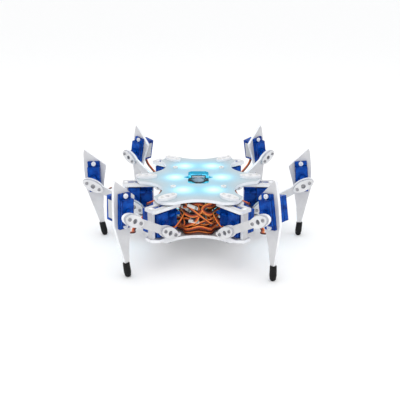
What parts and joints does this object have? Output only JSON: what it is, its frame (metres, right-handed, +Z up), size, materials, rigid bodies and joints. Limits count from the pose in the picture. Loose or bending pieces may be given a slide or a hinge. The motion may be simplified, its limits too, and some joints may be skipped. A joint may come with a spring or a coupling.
{
  "type": "hexapod walking robot",
  "caption": "Six-legged walking robot with a lit frosted body plate, blue servos at hips and knees, bladed shins and rubber feet.",
  "frame": {"origin": "on the floor under the middle of the whole robot, 4.6 mm in front of the body centre", "axes": "+Z up, +X to the robot's right, -Y the robot's front"},
  "size_m": [0.231, 0.2306, 0.0944],
  "materials": {
    "frosted_acrylic": "laser-cut frosted white acrylic sheet, 3 mm, lightly polished edges",
    "servo_case": "translucent royal blue moulded servo case",
    "nylon": "white moulded nylon",
    "steel": "zinc plated screws, washers and nuts",
    "board": "teal solder mask over copper traces",
    "black_plastic": "black moulded connectors and chips",
    "lamp": "clear lens over a cyan light",
    "battery_wrap": "shrink wrapped battery pack",
    "wire_cover": "PVC ribbon leads, orange, red and brown",
    "rubber": "black moulded rubber boots"
  },
  "bodies": {
    "chassis": {"top_plate": "frosted_acrylic", "bottom_plate": "frosted_acrylic", "body_pillars": "nylon", "hip_horns": "nylon", "hip_covers": "frosted_acrylic", "body_screws": "steel", "pivot_bolts": "steel", "control_board": "board", "board_parts": "black_plastic", "light_modules": "lamp", "battery_pack": "battery_wrap", "wiring_loom": "wire_cover"},
    "front_left_coxa": {"front_left_hip_cradle": "frosted_acrylic", "front_left_swing_servo": "servo_case", "front_left_lift_servo": "servo_case"},
    "front_left_femur": {"front_left_femur_link": "frosted_acrylic", "front_left_femur_horns": "nylon"},
    "front_left_tibia": {"front_left_shin_plate": "frosted_acrylic", "front_left_knee_servo": "servo_case", "front_left_foot": "rubber"},
    "middle_left_coxa": {"middle_left_hip_cradle": "frosted_acrylic", "middle_left_swing_servo": "servo_case", "middle_left_lift_servo": "servo_case"},
    "middle_left_femur": {"middle_left_femur_link": "frosted_acrylic", "middle_left_femur_horns": "nylon"},
    "middle_left_tibia": {"middle_left_shin_plate": "frosted_acrylic", "middle_left_knee_servo": "servo_case", "middle_left_foot": "rubber"},
    "back_left_coxa": {"back_left_hip_cradle": "frosted_acrylic", "back_left_swing_servo": "servo_case", "back_left_lift_servo": "servo_case"},
    "back_left_femur": {"back_left_femur_link": "frosted_acrylic", "back_left_femur_horns": "nylon"},
    "back_left_tibia": {"back_left_shin_plate": "frosted_acrylic", "back_left_knee_servo": "servo_case", "back_left_foot": "rubber"},
    "front_right_coxa": {"front_right_hip_cradle": "frosted_acrylic", "front_right_swing_servo": "servo_case", "front_right_lift_servo": "servo_case"},
    "front_right_femur": {"front_right_femur_link": "frosted_acrylic", "front_right_femur_horns": "nylon"},
    "front_right_tibia": {"front_right_shin_plate": "frosted_acrylic", "front_right_knee_servo": "servo_case", "front_right_foot": "rubber"},
    "middle_right_coxa": {"middle_right_hip_cradle": "frosted_acrylic", "middle_right_swing_servo": "servo_case", "middle_right_lift_servo": "servo_case"},
    "middle_right_femur": {"middle_right_femur_link": "frosted_acrylic", "middle_right_femur_horns": "nylon"},
    "middle_right_tibia": {"middle_right_shin_plate": "frosted_acrylic", "middle_right_knee_servo": "servo_case", "middle_right_foot": "rubber"},
    "back_right_coxa": {"back_right_hip_cradle": "frosted_acrylic", "back_right_swing_servo": "servo_case", "back_right_lift_servo": "servo_case"},
    "back_right_femur": {"back_right_femur_link": "frosted_acrylic", "back_right_femur_horns": "nylon"},
    "back_right_tibia": {"back_right_shin_plate": "frosted_acrylic", "back_right_knee_servo": "servo_case", "back_right_foot": "rubber"}
  },
  "joints": [
    {"name": "front_left_swing", "type": "hinge", "parent": "chassis", "child": "front_left_coxa", "pos_m": [-0.0282, -0.0576, 0.06], "axis": [0, 0, 1], "range_deg": [-30, 30]},
    {"name": "front_left_lift", "type": "hinge", "parent": "front_left_coxa", "child": "front_left_femur", "pos_m": [-0.03727, -0.0662, 0.0371], "axis": [-0.6884, 0.7254, 0], "range_deg": [-30, 40]},
    {"name": "front_left_knee", "type": "hinge", "parent": "front_left_femur", "child": "front_left_tibia", "pos_m": [-0.06595, -0.09342, 0.05982], "axis": [-0.6884, 0.7254, 0], "range_deg": [-20, 45]},
    {"name": "middle_left_swing", "type": "hinge", "parent": "chassis", "child": "middle_left_coxa", "pos_m": [-0.0527, 0.0046, 0.06], "axis": [0, 0, 1], "range_deg": [-30, 30]},
    {"name": "middle_left_lift", "type": "hinge", "parent": "middle_left_coxa", "child": "middle_left_femur", "pos_m": [-0.0652, 0.00427, 0.0371], "axis": [-0.0262, 0.9997, 0], "range_deg": [-30, 40]},
    {"name": "middle_left_knee", "type": "hinge", "parent": "middle_left_femur", "child": "middle_left_tibia", "pos_m": [-0.10491, 0.00323, 0.05948], "axis": [-0.0262, 0.9997, 0], "range_deg": [-20, 45]},
    {"name": "back_left_swing", "type": "hinge", "parent": "chassis", "child": "back_left_coxa", "pos_m": [-0.0282, 0.0668, 0.06], "axis": [0, 0, 1], "range_deg": [-30, 30]},
    {"name": "back_left_lift", "type": "hinge", "parent": "back_left_coxa", "child": "back_left_femur", "pos_m": [-0.03791, 0.07467, 0.0371], "axis": [0.6293, 0.7771, 0], "range_deg": [-30, 40]},
    {"name": "back_left_knee", "type": "hinge", "parent": "back_left_femur", "child": "back_left_tibia", "pos_m": [-0.06869, 0.09959, 0.05971], "axis": [0.6293, 0.7771, 0], "range_deg": [-20, 45]},
    {"name": "front_right_swing", "type": "hinge", "parent": "chassis", "child": "front_right_coxa", "pos_m": [0.0288, -0.0576, 0.06], "axis": [0, 0, 1], "range_deg": [-30, 30]},
    {"name": "front_right_lift", "type": "hinge", "parent": "front_right_coxa", "child": "front_right_femur", "pos_m": [0.03725, -0.06682, 0.0371], "axis": [-0.7373, -0.6756, 0], "range_deg": [-30, 40]},
    {"name": "front_right_knee", "type": "hinge", "parent": "front_right_femur", "child": "front_right_tibia", "pos_m": [0.06397, -0.09598, 0.05979], "axis": [-0.7373, -0.6756, 0], "range_deg": [-20, 45]},
    {"name": "middle_right_swing", "type": "hinge", "parent": "chassis", "child": "middle_right_coxa", "pos_m": [0.0533, 0.0046, 0.06], "axis": [0, 0, 1], "range_deg": [-30, 30]},
    {"name": "middle_right_lift", "type": "hinge", "parent": "middle_right_coxa", "child": "middle_right_femur", "pos_m": [0.06579, 0.00405, 0.0371], "axis": [-0.0436, -0.999, 0], "range_deg": [-30, 40]},
    {"name": "middle_right_knee", "type": "hinge", "parent": "middle_right_femur", "child": "middle_right_tibia", "pos_m": [0.10522, 0.00233, 0.05993], "axis": [-0.0436, -0.999, 0], "range_deg": [-20, 45]},
    {"name": "back_right_swing", "type": "hinge", "parent": "chassis", "child": "back_right_coxa", "pos_m": [0.0288, 0.0668, 0.06], "axis": [0, 0, 1], "range_deg": [-30, 30]},
    {"name": "back_right_lift", "type": "hinge", "parent": "back_right_coxa", "child": "back_right_femur", "pos_m": [0.03851, 0.07467, 0.0371], "axis": [0.6293, -0.7771, 0], "range_deg": [-30, 40]},
    {"name": "back_right_knee", "type": "hinge", "parent": "back_right_femur", "child": "back_right_tibia", "pos_m": [0.06927, 0.09957, 0.05975], "axis": [0.6293, -0.7771, 0], "range_deg": [-20, 45]}
  ]
}
